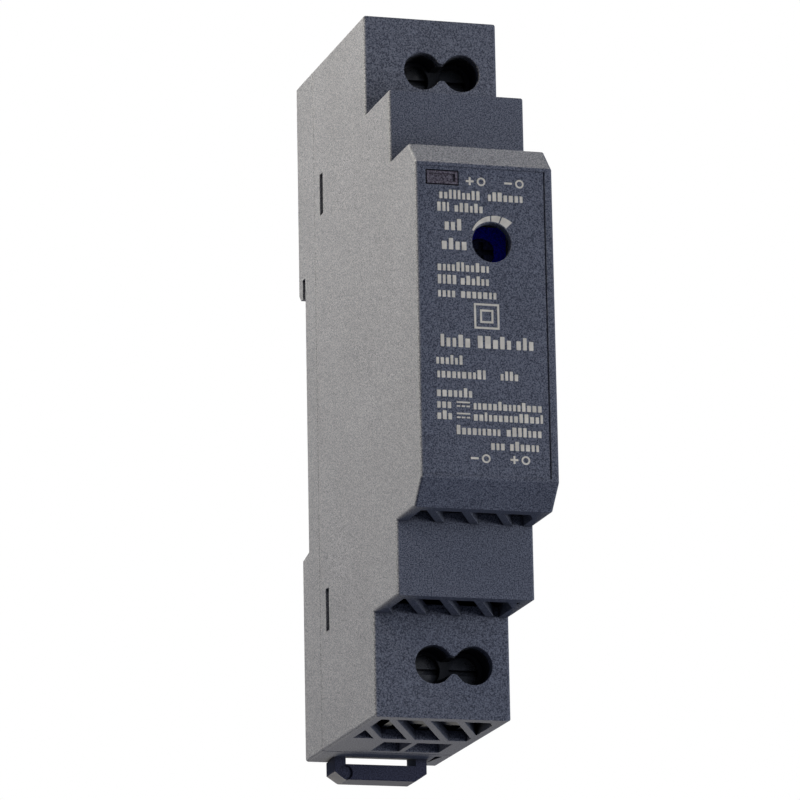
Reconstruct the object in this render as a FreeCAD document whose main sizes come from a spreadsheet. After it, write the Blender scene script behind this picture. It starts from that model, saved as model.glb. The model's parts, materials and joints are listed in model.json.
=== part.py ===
import FreeCAD, Part
import math
import os
import Sketcher
from FreeCAD import Placement, Rotation, Vector

# One-module DIN rail power supply.
# Axes: +X right, +Y into the cabinet (towards the rail), +Z up.
# Origin: centre of the plane in which the front faces of a 35 mm rail's flanges seat.

DIMENSIONS = {
    # case outline
    "case_width": 17.5,
    "case_height": 90.0,
    "middle_height": 64.0,
    "nose_height": 45.5,
    "front_depth": 51.5,
    "middle_depth": 40.5,
    "terminal_depth": 29.6,
    "seam_depth": 5.0,
    "back_reach": 3.0,
    "nose_bevel": 3.0,
    "wall": 1.3,
    "side_round": 0.35,
    "seam_bevel": 0.15,
    # front face
    "adjuster_hole_radius": 2.5,
    "adjuster_x": 0.85,
    "adjuster_z": 10.0,
    "window_width": 4.2,
    "window_height": 1.9,
    "window_x": -5.3,
    "window_z": 17.9,
    "window_gap": 0.15,
    "window_rim": 0.3,
    "window_dish": 0.2,
    "window_flange_lap": 0.05,
    "window_stem_inset": 0.3,
    "label_recess": 0.1,
    "label_left": 8.35,
    "label_right": 7.75,
    "label_half_height": 19.3,
    "label_groove": 0.15,
    "label_groove_depth": 0.06,
    # terminal openings
    "terminal_pitch": 5.08,
    "terminal_x": 1.5,
    "terminal_z": 38.2,
    "access_hole_radius": 2.45,
    "access_waist": 2.3,
    "access_waist_round": 0.5,
    # slanted ribs in the step faces
    "rib_pitch": 4.36,
    "rib_width": 1.05,
    "rib_slope": 0.47,
    "rib_start": -8.2,
    "rib_start_depth": 50.0,
    "grille_lip": 1.8,
    "grille_half_width": 7.4,
    "end_grille_rear": 14.9,
    "end_recess_front": 12.6,
    "end_recess_rear": 6.4,
    "end_recess_left": -2.75,
    "end_recess_right": 6.2,
    "end_strut_x": 1.3,
    "end_strut_width": 0.7,
    # snap joint between housing and cover
    "snap_z": 27.4,
    "snap_window_height": 5.5,
    "snap_window_depth": 8.5,
    "snap_window_width": 1.5,
    "tongue_height": 4.9,
    "tongue_reach": 10.8,
    "tongue_gap": 0.1,
    "tongue_thickness": 0.85,
    "tongue_root": 2.1,
    "catch_height": 0.65,
    # rail recess
    "hook_slot_top": 18.3,
    "hook_tip": 15.8,
    "hook_slot": 1.3,
    "hook_lead": 0.8,
    "shoulder_z": 18.2,
    "shoulder_drop": 0.6,
    "channel_sill": 1.04,
    # three-cornered recess in the foot, beside the clip
    "corner_left": 6.6,
    "corner_right": 7.5,
    "corner_front": 3.6,
    "corner_tip_x": 6.75,
    "corner_tip": 0.9,
    "corner_depth": 1.04,
    # sliding clip and its channel
    "clip_half_width": 6.1,
    "clip_neck_half_width": 5.4,
    "clip_front": 1.3,
    "clip_flange_back": 0.7,
    "clip_back": 2.8,
    "clip_gap": 0.15,
    "clip_top": 20.0,
    "clip_foot": 47.9,
    "clip_nose": 15.8,
    "clip_nose_front": 1.3,
    "clip_nose_lead_height": 1.8,
    "clip_nose_lead_depth": 0.9,
    "clip_top_slope": 1.0,
    "clip_overlap": 0.1,
    "clip_round": 0.25,
    "clip_travel": 4.5,
    "clip_corner_width": 1.5,
    "clip_corner_height": 1.0,
    "lever_slot_half_width": 4.65,
    "lever_slot_low": 45.9,
    "lever_slot_high": 44.4,
    "stop_radius": 1.5,
    "stop_z": 31.5,
    "spring_slit_inner": 3.1,
    "spring_slit_outer": 3.8,
    "spring_slit_top": 24.0,
    "spring_slit_foot": 41.0,
    "dimple_radius": 0.95,
    "dimple_depth": 0.25,
    "dimple_x": -4.7,
    "dimple_z": 47.0,
    # printed circuit board and insulation
    "board_left": -6.6,
    "board_thickness": 1.6,
    "board_rear": 11.5,
    "board_front": 48.9,
    "board_clearance": 0.5,
    "guide_gap": 0.05,
    "insulation_thickness": 0.25,
    "insulation_front": 47.4,
    "insulation_inset": 0.15,
    "tail_hole_radius": 0.65,
    # terminal blocks
    "block_width": 10.9,
    "block_inner": 33.9,
    "block_outer": 43.6,
    "block_front": 28.2,
    "block_rear": 13.6,
    "cage_half_width": 1.95,
    "cage_half_length": 2.25,
    "cage_front": 20.4,
    "cage_rear": 14.6,
    "cage_top_wall": 1.2,
    "cage_foot_wall": 0.8,
    "cage_side_wall": 0.4,
    "cage_gap": 0.15,
    "screw_head_radius": 2.15,
    "screw_head_front": 24.5,
    "screw_head_rear": 23.1,
    "screw_radius": 1.45,
    "screw_gap": 0.05,
    "screw_slot_width": 0.7,
    "screw_slot_depth": 0.7,
    "screw_lip_radius": 1.95,
    "screw_lip_front": 25.4,
    "screw_well_radius": 2.35,
    "wire_half_width": 1.9,
    "bar_front": 19.0,
    "bar_rear": 18.2,
    "bar_half_width": 1.2,
    "bar_outer": 42.8,
    "near_tail": 33.0,
    "far_tail": 31.8,
    "tail_width": 0.8,
    "tail_reach": 7.1,
    # adjuster
    "trimmer_size": 6.6,
    "trimmer_front": 46.5,
    "trimmer_depth": 4.4,
    "rotor_radius": 1.7,
    "rotor_proud": 0.35,
    "rotor_sunk": 1.0,
    "rotor_gap": 0.08,
    "rotor_slot": 0.6,
    "rotor_slot_floor": 0.24,
    "rotor_cross_reach": 1.25,
    "rotor_foot_gap": 0.05,
    "pin_size": 0.5,
    "pin_spread": 2.3,
    # light
    "led_front": 48.0,
    "led_depth": 1.6,
    "led_rise": 1.0,
    "pipe_board_gap": 0.1,
    "pipe_flange": 0.5,
    # transformer
    "core_span": 16.0,
    "core_length": 14.0,
    "core_height": 4.8,
    "core_leg": 2.1,
    "core_centre_leg": 4.0,
    "core_back": 2.0,
    "core_x": 0.8,
    "transformer_y": -21.0,
    "transformer_z": 1.0,
    "bobbin_wall": 0.6,
    "bobbin_gap": 0.1,
    "bobbin_half_length": 4.7,
    "flange_thickness": 0.7,
    "flange_half_size": 5.5,
    "primary_build": 1.1,
    "secondary_build": 0.9,
    "tape_thickness": 0.15,
    "tape_half_width": 1.5,
}

# Parts that stand on the board: centre along Y and Z, span along Y and Z, height off the board.
BOARD_CHIPS = {
    "controller_chip": (-44.0, -1.5, 3.9, 4.9, 1.5),
    "optocoupler": (-33.5, 5.0, 4.4, 6.5, 2.1),
    "reference_chip": (-38.5, 6.5, 1.3, 2.9, 1.1),
    "switching_transistor": (-34.0, -7.0, 6.1, 6.5, 2.3),
    "output_rectifier": (-34.5, 16.5, 6.1, 6.5, 2.3),
    "surge_suppressor": (-36.3, -17.0, 3.6, 6.8, 2.3),
    "input_fuse": (-36.2, -26.8, 2.6, 6.1, 2.5),
    "sense_resistor": (-40.3, -5.0, 1.6, 3.2, 0.6),
}

# Round parts whose axis stands off the board: centre Y, centre Z, radius, top above the board.
CAPACITORS = {
    "output_capacitor_1": (-17.0, 26.3, 4.0, 11.4),
    "output_capacitor_2": (-26.2, 26.3, 4.0, 11.4),
    "input_capacitor_1": (-17.6, -24.6, 5.0, 11.6),
    "input_capacitor_2": (-28.6, -24.8, 5.0, 11.6),
}
CHOKES = {
    "input_choke": (-43.5, -14.5, 4.3, 8.6),
    "output_choke": (-15.8, 16.2, 4.3, 8.6),
}

# Disc capacitors on two wire legs: centre Y, centre Z, radius, half thickness.
DISCS = {
    "isolation_capacitor": (-28.7, -13.2, 3.6, 1.7),
    "snubber_capacitor": (-15.8, -12.6, 3.0, 1.5),
}

CHIP_WORDS = ("y", "z", "span_y", "span_z", "rise")
ROUND_WORDS = ("y", "z", "radius", "rise")
DISC_WORDS = ("y", "z", "radius", "half_thickness")
for table, words in ((BOARD_CHIPS, CHIP_WORDS), (CAPACITORS, ROUND_WORDS),
                     (CHOKES, ROUND_WORDS), (DISCS, DISC_WORDS)):
    for part_name, values in table.items():
        for word, amount in zip(words, values):
            DIMENSIONS[f"{part_name}_{word}"] = amount

DIMENSIONS.update({
    "can_wall": 0.2,
    "can_gap": 0.02,
    "can_foot": 0.4,
    "choke_core_share": 0.45,
    "choke_flange": 1.0,
    "choke_winding_share": 0.9,
    "leg_radius": 0.3,
    "resistor_long": 1.6,
    "resistor_wide": 0.8,
    "resistor_tall": 0.45,
    "ceramic_long": 3.2,
    "ceramic_wide": 1.6,
    "ceramic_tall": 1.2,
    # leaded chips, as shares of the height or the lead pitch
    "chip_lift_share": 0.08,
    "lead_height_share": 0.45,
    "lead_reach_share": 0.6,
    "lead_width_share": 0.18,
    # power packages
    "tab_height_share": 0.2,
    "tab_inset": 0.6,
    "tab_reach": 0.9,
    "tab_half_width": 2.6,
    "power_leg_pitch": 4.56,
    "power_leg_half_width": 0.4,
    "power_leg_reach": 1.6,
    "power_leg_overlap": 0.3,
    "power_leg_height_share": 0.4,
    # end cap parts and disc capacitors
    "cap_proud_share": 0.05,
    "cap_proud": 0.05,
    "bung_share": 0.8,
    "disc_lift": 1.2,
    "disc_leg_share": 0.6,
    "bobbin_foot_reach": 1.0,
})

doc = FreeCAD.newDocument("din_rail_power_supply")
sheet = doc.addObject("Spreadsheet::Sheet", "Sizes")
for row, (alias, amount) in enumerate(DIMENSIONS.items(), 1):
    sheet.set(f"A{row}", alias)
    sheet.set(f"B{row}", str(amount))
    sheet.setAlias(f"B{row}", alias)
doc.recompute()


class Size:
    """A number together with the spreadsheet formula that gives it."""

    def __init__(self, value, formula):
        self.value = value
        self.formula = formula

    def combined(self, other, sign, value):
        return Size(value, f"({self.formula} {sign} {formula_of(other)})")

    def __add__(self, other):
        return self.combined(other, "+", self.value + value_of(other))

    def __sub__(self, other):
        return self.combined(other, "-", self.value - value_of(other))

    def __mul__(self, other):
        return self.combined(other, "*", self.value * value_of(other))

    def __truediv__(self, other):
        return self.combined(other, "/", self.value / value_of(other))

    def __neg__(self):
        return Size(-self.value, f"(-1 * {self.formula})")

    def __radd__(self, other):
        return self + other

    def __rsub__(self, other):
        return -self + other

    def __rmul__(self, other):
        return self * other


def value_of(size):
    return size.value if isinstance(size, Size) else float(size)


def formula_of(size):
    return size.formula if isinstance(size, Size) else f"{float(size):.6f}"


class Cells:
    """Gives each spreadsheet cell as a Size, by its alias."""

    def __getattr__(self, alias):
        return Size(float(sheet.get(alias)), f"Sizes.{alias}")


cell = Cells()


def part_size(part_name, word):
    return getattr(cell, f"{part_name}_{word}")


# ---------------------------------------------------------------- primitives

QUARTER_TURNS = {
    "x": Rotation(Vector(0, 1, 0), 90),
    "y": Rotation(Vector(1, 0, 0), -90),
    "z": Rotation(),
}


def bind(item, prop, size):
    """Set a property, with its formula where the size comes from the sheet."""
    setattr(item, prop, value_of(size))
    if isinstance(size, Size):
        item.setExpression(prop, size.formula)


def place(item, spot, rotation=None):
    item.Placement = Placement(Vector(*[value_of(size) for size in spot]), rotation or Rotation())
    for axis, size in zip("xyz", spot):
        if isinstance(size, Size):
            item.setExpression(f".Placement.Base.{axis}", size.formula)


def block(name, x, y, z):
    """A box from its low and high limit along each axis."""
    item = doc.addObject("Part::Box", name)
    for prop, (low, high) in zip(("Length", "Width", "Height"), (x, y, z)):
        bind(item, prop, high - low)
    place(item, (x[0], y[0], z[0]))
    return item


def around(centre, half):
    """The low and high limit of a span about its centre."""
    return (centre - half, centre + half)


def rod(name, start, radius, length, axis):
    """A cylinder that runs from start along the positive axis."""
    item = doc.addObject("Part::Cylinder", name)
    bind(item, "Radius", radius)
    bind(item, "Height", length)
    place(item, start, QUARTER_TURNS[axis])
    return item


def fuse(name, *items):
    item = doc.addObject("Part::MultiFuse", name)
    item.Shapes = list(items)
    return item


def cut(name, base, *tools):
    item = doc.addObject("Part::Cut", name)
    item.Base = base
    item.Tool = tools[0] if len(tools) == 1 else fuse(f"{name}_tools", *tools)
    return item


def group(name, items):
    """Separate solids that share one node."""
    item = doc.addObject("Part::Compound", name)
    item.Links = list(items)
    return item


sub_parts = {}


def keep(name, item):
    """Register a finished sub-part under the name of its node."""
    item.Label = name
    sub_parts[name] = item
    return item


# ---------------------------------------------------------------- bodies

class BodyMaker:
    """A PartDesign body made from outlines on its own origin planes."""

    def __init__(self, name):
        self.name = name
        self.body = doc.addObject("PartDesign::Body", name)
        self.count = 0

    def sketch(self, role, offset=0.0):
        self.count += 1
        sketch = self.body.newObject("Sketcher::SketchObject", f"{self.name}_sketch_{self.count}")
        plane = [item for item in self.body.Origin.OriginFeatures if item.Role == role][0]
        sketch.AttachmentSupport = [(plane, "")]
        sketch.MapMode = "FlatFace"
        sketch.AttachmentOffset = Placement(Vector(0, 0, value_of(offset)), Rotation())
        if isinstance(offset, Size):
            sketch.setExpression(".AttachmentOffset.Base.z", offset.formula)
        return sketch

    def fix_point(self, sketch, edge, position, x, y):
        for axis, size in (("X", x), ("Y", y)):
            index = sketch.addConstraint(
                Sketcher.Constraint(f"Distance{axis}", -1, 1, edge, position, value_of(size)))
            if isinstance(size, Size):
                sketch.setExpression(f"Constraints[{index}]", size.formula)

    def add_outline(self, sketch, points):
        """A closed outline whose corners are held at the given points."""
        first = sketch.GeometryCount
        spots = [Vector(value_of(x), value_of(y), 0) for x, y in points]
        for start, end in zip(spots, spots[1:] + spots[:1]):
            sketch.addGeometry(Part.LineSegment(start, end), False)
        for number in range(len(points)):
            following = first + (number + 1) % len(points)
            sketch.addConstraint(Sketcher.Constraint("Coincident", first + number, 2, following, 1))
        for number, (x, y) in enumerate(points):
            self.fix_point(sketch, first + number, 1, x, y)

    def add_rectangle(self, sketch, x, y):
        self.add_outline(sketch, [(x[0], y[0]), (x[1], y[0]), (x[1], y[1]), (x[0], y[1])])

    def add_circle(self, sketch, x, y, radius):
        centre = Vector(value_of(x), value_of(y), 0)
        edge = sketch.addGeometry(Part.Circle(centre, Vector(0, 0, 1), value_of(radius)), False)
        self.fix_point(sketch, edge, 3, x, y)
        index = sketch.addConstraint(Sketcher.Constraint("Radius", edge, value_of(radius)))
        sketch.setExpression(f"Constraints[{index}]", formula_of(radius))

    def feature(self, kind, sketch, length, symmetric, reverse):
        before = self.body.Shape.Volume if self.body.Tip else 0.0
        name = f"{self.name}_{kind.lower()}_{self.count}"
        item = self.body.newObject(f"PartDesign::{kind}", name)
        item.Profile = sketch
        item.SideType = "Symmetric" if symmetric else "One side"
        item.Reversed = reverse
        bind(item, "Length", length)
        doc.recompute()
        change = self.body.Shape.Volume - before
        if (change if kind == "Pad" else -change) <= 0:
            raise RuntimeError(f"{name} does not change the body")
        return item

    def pad(self, sketch, length, symmetric=False, reverse=False):
        return self.feature("Pad", sketch, length, symmetric, reverse)

    def pocket(self, sketch, length, symmetric=False, reverse=False):
        return self.feature("Pocket", sketch, length, symmetric, reverse)

    def dress(self, kind, prop, size, wanted):
        """Round or bevel the edges that the test picks."""
        tip = self.body.Tip
        names = [f"Edge{number}" for number, edge in enumerate(tip.Shape.Edges, 1) if wanted(edge)]
        item = self.body.newObject(f"PartDesign::{kind}", f"{self.name}_{kind.lower()}_{len(names)}")
        item.Base = (tip, names)
        bind(item, prop, size)
        doc.recompute()
        return item


def lies_at(edge, axis, place_value):
    """True where both ends of an edge have the same coordinate along an axis."""
    spots = [getattr(vertex.Point, axis) for vertex in edge.Vertexes]
    return all(abs(spot - place_value) < 0.001 for spot in spots)


# ---------------------------------------------------------------- the case

def is_waist_corner(edge):
    """True for the edges where the gap between two access holes meets the holes."""
    ends = [vertex.Point for vertex in edge.Vertexes]
    return abs(ends[0].y - ends[-1].y) > value_of(cell.wall) / 2 and all(
        abs(end.x - value_of(cell.terminal_x)) < value_of(cell.terminal_pitch / 4)
        and abs(abs(abs(end.z) - value_of(cell.terminal_z)) - value_of(cell.access_waist / 2)) < 0.001
        for end in ends)


half_width = cell.case_width / 2
half_height = cell.case_height / 2
half_middle = cell.middle_height / 2
half_nose = cell.nose_height / 2
front_y = -cell.front_depth
middle_y = -cell.middle_depth
terminal_y = -cell.terminal_depth
seam_y = -cell.seam_depth
inner_half_width = half_width - cell.wall
board_face_x = cell.board_left + cell.board_thickness
pole_x = (cell.terminal_x - cell.terminal_pitch / 2, cell.terminal_x + cell.terminal_pitch / 2)
ENDS = (("output", 1), ("input", -1))


def mirrored(points):
    """Points of an upper half outline followed by their mirror images below."""
    return points + [(y, -z) for y, z in reversed(points)]


def rib_outlines(front, rear, x_limit):
    """Slanted ribs between two depths, each trimmed where it leaves the opening's side."""
    outlines = []
    slope = cell.rib_slope
    overlap = cell.rib_width / 2
    low_y, high_y = front - overlap, rear + overlap
    for number in range(-3, 5):
        start = cell.rib_start + slope * (low_y + cell.rib_start_depth) + cell.rib_pitch * number
        left_front, right_front = start, start + cell.rib_width
        run = slope * (high_y - low_y)
        left_rear, right_rear = left_front + run, right_front + run
        if value_of(right_rear) < -value_of(x_limit) or value_of(left_front) > value_of(x_limit):
            continue
        if value_of(left_front) < -value_of(x_limit):
            left_y = low_y + (-x_limit - left_front) / slope
            right_y = low_y + (-x_limit - right_front) / slope
            if value_of(right_front) > -value_of(x_limit):
                outlines.append([(-x_limit, low_y), (right_front, low_y), (right_rear, high_y),
                                 (left_rear, high_y), (-x_limit, left_y)])
            else:
                outlines.append([(-x_limit, right_y), (right_rear, high_y), (left_rear, high_y),
                                 (-x_limit, left_y)])
        elif value_of(right_rear) > value_of(x_limit):
            left_y = low_y + (x_limit - left_front) / slope
            right_y = low_y + (x_limit - right_front) / slope
            if value_of(left_rear) < value_of(x_limit):
                outlines.append([(left_front, low_y), (right_front, low_y), (x_limit, right_y),
                                 (x_limit, high_y), (left_rear, high_y)])
            else:
                outlines.append([(left_front, low_y), (right_front, low_y), (x_limit, right_y),
                                 (x_limit, left_y)])
        else:
            outlines.append([(left_front, low_y), (right_front, low_y), (right_rear, high_y),
                             (left_rear, high_y)])
    return outlines


def make_front_housing():
    maker = BodyMaker("front_housing")
    outline = maker.sketch("YZ_Plane")
    maker.add_outline(outline, mirrored([
        (seam_y, half_height), (terminal_y, half_height), (terminal_y, half_middle),
        (middle_y, half_middle), (middle_y, half_nose), (front_y + cell.nose_bevel, half_nose),
        (front_y, half_nose - cell.nose_bevel)]))
    maker.pad(outline, cell.case_width, symmetric=True)
    side = value_of(half_width)
    maker.dress("Fillet", "Radius", cell.side_round,
                lambda edge: (lies_at(edge, "x", side) or lies_at(edge, "x", -side))
                and not lies_at(edge, "y", value_of(seam_y)))
    maker.dress("Chamfer", "Size", cell.seam_bevel, lambda edge: lies_at(edge, "y", value_of(seam_y)))

    hollow = maker.sketch("YZ_Plane")
    wall = cell.wall
    corner = wall * math.tan(math.radians(22.5))
    maker.add_outline(hollow, mirrored([
        (seam_y + wall, half_height - wall), (terminal_y + wall, half_height - wall),
        (terminal_y + wall, half_middle - wall), (middle_y + wall, half_middle - wall),
        (middle_y + wall, half_nose - wall), (front_y + cell.nose_bevel + corner, half_nose - wall),
        (front_y + wall, half_nose - cell.nose_bevel - corner)]))
    maker.pocket(hollow, inner_half_width * 2, symmetric=True)

    face = maker.sketch("XZ_Plane", cell.front_depth)
    maker.add_rectangle(face, (-cell.label_left, cell.label_right),
                        around(0.0, cell.label_half_height))
    maker.pocket(face, cell.label_recess)
    groove = maker.sketch("XZ_Plane", cell.front_depth)
    maker.add_rectangle(groove, (cell.label_right - cell.label_groove, cell.label_right),
                        around(0.0, cell.label_half_height))
    maker.pocket(groove, cell.label_recess + cell.label_groove_depth)

    front = maker.sketch("XZ_Plane", cell.front_depth)
    maker.add_circle(front, cell.adjuster_x, cell.adjuster_z, cell.adjuster_hole_radius)
    maker.add_rectangle(front, around(cell.window_x, cell.window_width / 2),
                        around(cell.window_z, cell.window_height / 2))
    maker.pocket(front, cell.wall * 2)

    lobes = maker.sketch("XZ_Plane", cell.terminal_depth)
    waists = maker.sketch("XZ_Plane", cell.terminal_depth)
    for _, sign in ENDS:
        for x in pole_x:
            maker.add_circle(lobes, x, cell.terminal_z * sign, cell.access_hole_radius)
        maker.add_rectangle(waists, around(cell.terminal_x, cell.terminal_pitch / 4),
                            around(cell.terminal_z * sign, cell.access_waist / 2))
    maker.pocket(lobes, cell.wall * 2)
    maker.pocket(waists, cell.wall * 2)
    maker.dress("Fillet", "Radius", cell.access_waist_round, is_waist_corner)

    grilles = (
        (half_nose, front_y + cell.nose_bevel + cell.grille_lip, middle_y),
        (half_middle, middle_y + cell.grille_lip, terminal_y),
        (half_height, terminal_y + cell.grille_lip, -cell.end_grille_rear),
    )
    for level, low_y, high_y in grilles:
        for sign in (1, -1):
            edge = level if sign > 0 else -(level - wall)
            opening = maker.sketch("XY_Plane", edge)
            maker.add_rectangle(opening, around(0.0, cell.grille_half_width), (low_y, high_y))
            maker.pocket(opening, wall)
            ribs = maker.sketch("XY_Plane", edge - wall)
            for points in rib_outlines(low_y, high_y, inner_half_width + wall / 4):
                maker.add_outline(ribs, points)
            maker.pad(ribs, wall)

    for sign in (1, -1):
        edge = half_height if sign > 0 else -(half_height - wall)
        recess = maker.sketch("XY_Plane", edge)
        strut = around(cell.end_strut_x, cell.end_strut_width / 2)
        span_y = (-cell.end_recess_front, -cell.end_recess_rear)
        maker.add_rectangle(recess, (cell.end_recess_left, strut[0]), span_y)
        maker.add_rectangle(recess, (strut[1], cell.end_recess_right), span_y)
        maker.pocket(recess, wall)
        sill = maker.sketch("XY_Plane", (half_height - wall) if sign > 0 else -(half_height - wall))
        maker.add_rectangle(sill, around(0.0, cell.clip_half_width),
                            (-cell.end_recess_rear, -cell.end_recess_rear + cell.channel_sill))
        maker.pad(sill, wall * 3, reverse=sign > 0)

    windows = maker.sketch("YZ_Plane")
    for sign in (1, -1):
        maker.add_rectangle(windows, around(-cell.snap_window_depth, cell.snap_window_width / 2),
                            around(cell.snap_z * sign, cell.snap_window_height / 2))
    maker.pocket(windows, cell.case_width, symmetric=True)

    guides = maker.sketch("XY_Plane", -cell.board_clearance)
    slot_left = cell.board_left - cell.guide_gap
    slot_right = cell.board_left + cell.board_thickness + cell.guide_gap
    guide_y = (front_y + wall / 2, front_y + wall * 3)
    maker.add_rectangle(guides, (-inner_half_width - wall / 2, slot_left), guide_y)
    maker.add_rectangle(guides, (slot_right, slot_right + wall), guide_y)
    maker.pad(guides, wall * 2)
    return keep("front_housing", maker.body)


def make_rear_cover():
    maker = BodyMaker("rear_cover")
    back = cell.back_reach
    outline = maker.sketch("YZ_Plane")
    maker.add_outline(outline, [
        (seam_y, half_height), (back, half_height), (back, cell.hook_tip + cell.hook_lead),
        (back - cell.hook_lead, cell.hook_tip), (cell.hook_slot, cell.hook_tip),
        (cell.hook_slot, cell.hook_slot_top), (0.0, cell.hook_slot_top), (0.0, -cell.shoulder_z),
        (back, -cell.shoulder_z - cell.shoulder_drop), (back, -half_height), (seam_y, -half_height)])
    maker.pad(outline, cell.case_width, symmetric=True)
    side = value_of(half_width)
    maker.dress("Fillet", "Radius", cell.side_round,
                lambda edge: (lies_at(edge, "x", side) or lies_at(edge, "x", -side))
                and (lies_at(edge, "z", value_of(half_height))
                     or lies_at(edge, "z", -value_of(half_height))))
    maker.dress("Chamfer", "Size", cell.seam_bevel, lambda edge: lies_at(edge, "y", value_of(seam_y)))

    wall = cell.wall
    channel_floor = -(cell.clip_front + cell.clip_gap)
    hollow = maker.sketch("YZ_Plane")
    maker.add_outline(hollow, [
        (seam_y - wall, half_height - wall), (back - wall, half_height - wall),
        (back - wall, cell.hook_slot_top + wall), (-wall, cell.hook_slot_top + wall),
        (-wall, -cell.shoulder_z + wall), (channel_floor - wall, -cell.shoulder_z + wall),
        (channel_floor - wall, -half_height + wall), (seam_y - wall, -half_height + wall)])
    maker.pocket(hollow, inner_half_width * 2, symmetric=True)

    wide_back = cell.clip_flange_back + cell.clip_gap
    flange_way = maker.sketch("XZ_Plane", -channel_floor)
    maker.add_rectangle(flange_way, around(0.0, cell.clip_half_width + cell.clip_gap),
                        (-half_height - wall, -cell.clip_top + cell.clip_gap))
    maker.pocket(flange_way, wide_back - channel_floor)
    neck_way = maker.sketch("XZ_Plane", -channel_floor)
    maker.add_rectangle(neck_way, around(0.0, cell.clip_neck_half_width + cell.clip_gap),
                        (-half_height - wall, -cell.clip_top + cell.clip_gap))
    maker.pocket(neck_way, back - channel_floor)
    nose_way = maker.sketch("XZ_Plane", 0.0)
    maker.add_rectangle(nose_way, around(0.0, cell.clip_neck_half_width + cell.clip_gap),
                        (-cell.clip_top - wall, -cell.hook_tip))
    maker.pocket(nose_way, back * 2)

    stop = maker.sketch("XZ_Plane", -channel_floor + wall / 2)
    maker.add_circle(stop, 0.0, -cell.stop_z, cell.stop_radius)
    maker.pad(stop, cell.clip_front + wall / 2 + cell.clip_flange_back, reverse=True)

    corner = maker.sketch("XY_Plane", -half_height)
    maker.add_outline(corner, [(cell.corner_left, -cell.corner_front),
                               (cell.corner_right, -cell.corner_front),
                               (cell.corner_tip_x, cell.corner_tip)])
    maker.pocket(corner, cell.corner_depth, reverse=True)

    tongue_outer = inner_half_width - cell.tongue_gap
    tongue_inner = tongue_outer - cell.tongue_thickness
    catch_x = tongue_outer + cell.catch_height
    catch_front = -cell.snap_window_depth - cell.snap_window_width / 2 + cell.tongue_gap
    catch_rear = -cell.snap_window_depth + cell.snap_window_width / 2 - cell.tongue_gap
    for sign in (1, -1):
        low_z = cell.snap_z * sign - cell.tongue_height / 2
        tongues = maker.sketch("XY_Plane", low_z)
        for side_sign in (1, -1):
            maker.add_outline(tongues, [
                (tongue_inner * side_sign, seam_y + cell.tongue_root),
                (tongue_inner * side_sign, -cell.tongue_reach),
                (tongue_outer * side_sign, -cell.tongue_reach),
                (tongue_outer * side_sign, catch_front),
                (catch_x * side_sign, catch_rear - cell.tongue_gap * 3),
                (catch_x * side_sign, catch_rear), (tongue_outer * side_sign, catch_rear),
                (tongue_outer * side_sign, seam_y),
                ((tongue_outer + wall / 2) * side_sign, seam_y),
                ((tongue_outer + wall / 2) * side_sign, seam_y + cell.tongue_root)])
        maker.pad(tongues, cell.tongue_height)
    return keep("rear_cover", maker.body)


def make_din_clip():
    maker = BodyMaker("din_clip")
    low, high = -cell.clip_front, cell.clip_back
    tab_top = -half_height - cell.clip_gap
    neck_foot = tab_top - cell.clip_overlap
    neck = maker.sketch("YZ_Plane")
    nose_front = cell.clip_nose_front
    maker.add_outline(neck, [
        (low, neck_foot), (high, neck_foot), (high, -cell.clip_nose - cell.clip_nose_lead_height),
        (high - cell.clip_nose_lead_depth, -cell.clip_nose), (nose_front, -cell.clip_nose),
        (nose_front, -cell.shoulder_z), (cell.clip_gap, -cell.clip_top + cell.clip_top_slope),
        (cell.clip_gap, -cell.clip_top), (low, -cell.clip_top)])
    maker.pad(neck, cell.clip_neck_half_width * 2, symmetric=True)
    flange = maker.sketch("XZ_Plane", cell.clip_front)
    maker.add_rectangle(flange, around(0.0, cell.clip_half_width), (neck_foot, -cell.clip_top))
    maker.pad(flange, cell.clip_front + cell.clip_flange_back, reverse=True)
    tab = maker.sketch("XZ_Plane", cell.clip_front)
    half = cell.clip_half_width
    foot = -cell.clip_foot
    maker.add_outline(tab, [
        (-half, tab_top), (half, tab_top), (half, foot + cell.clip_corner_height),
        (half - cell.clip_corner_width, foot), (-half + cell.clip_corner_width, foot),
        (-half, foot + cell.clip_corner_height)])
    maker.pad(tab, high - low, reverse=True)
    maker.dress("Fillet", "Radius", cell.clip_round,
                lambda edge: lies_at(edge, "z", value_of(foot)))

    lever = maker.sketch("XZ_Plane", cell.clip_front)
    maker.add_rectangle(lever, around(0.0, cell.lever_slot_half_width),
                        (-cell.lever_slot_low, -cell.lever_slot_high))
    maker.pocket(lever, high - low)
    gap = cell.clip_gap
    ways = maker.sketch("XZ_Plane", cell.clip_front)
    maker.add_rectangle(ways, around(0.0, cell.stop_radius + gap),
                        (-cell.stop_z - cell.stop_radius - gap,
                         -cell.stop_z + cell.stop_radius + cell.clip_travel + gap))
    for side_sign in (1, -1):
        slit = (cell.spring_slit_inner * side_sign, cell.spring_slit_outer * side_sign)
        maker.add_rectangle(ways, slit, (-cell.spring_slit_foot, -cell.spring_slit_top))
    maker.pocket(ways, high - low)
    dimple = maker.sketch("XZ_Plane", cell.clip_front)
    maker.add_circle(dimple, cell.dimple_x, -cell.dimple_z, cell.dimple_radius)
    maker.pocket(dimple, cell.dimple_depth)
    return keep("din_clip", maker.body)


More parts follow.
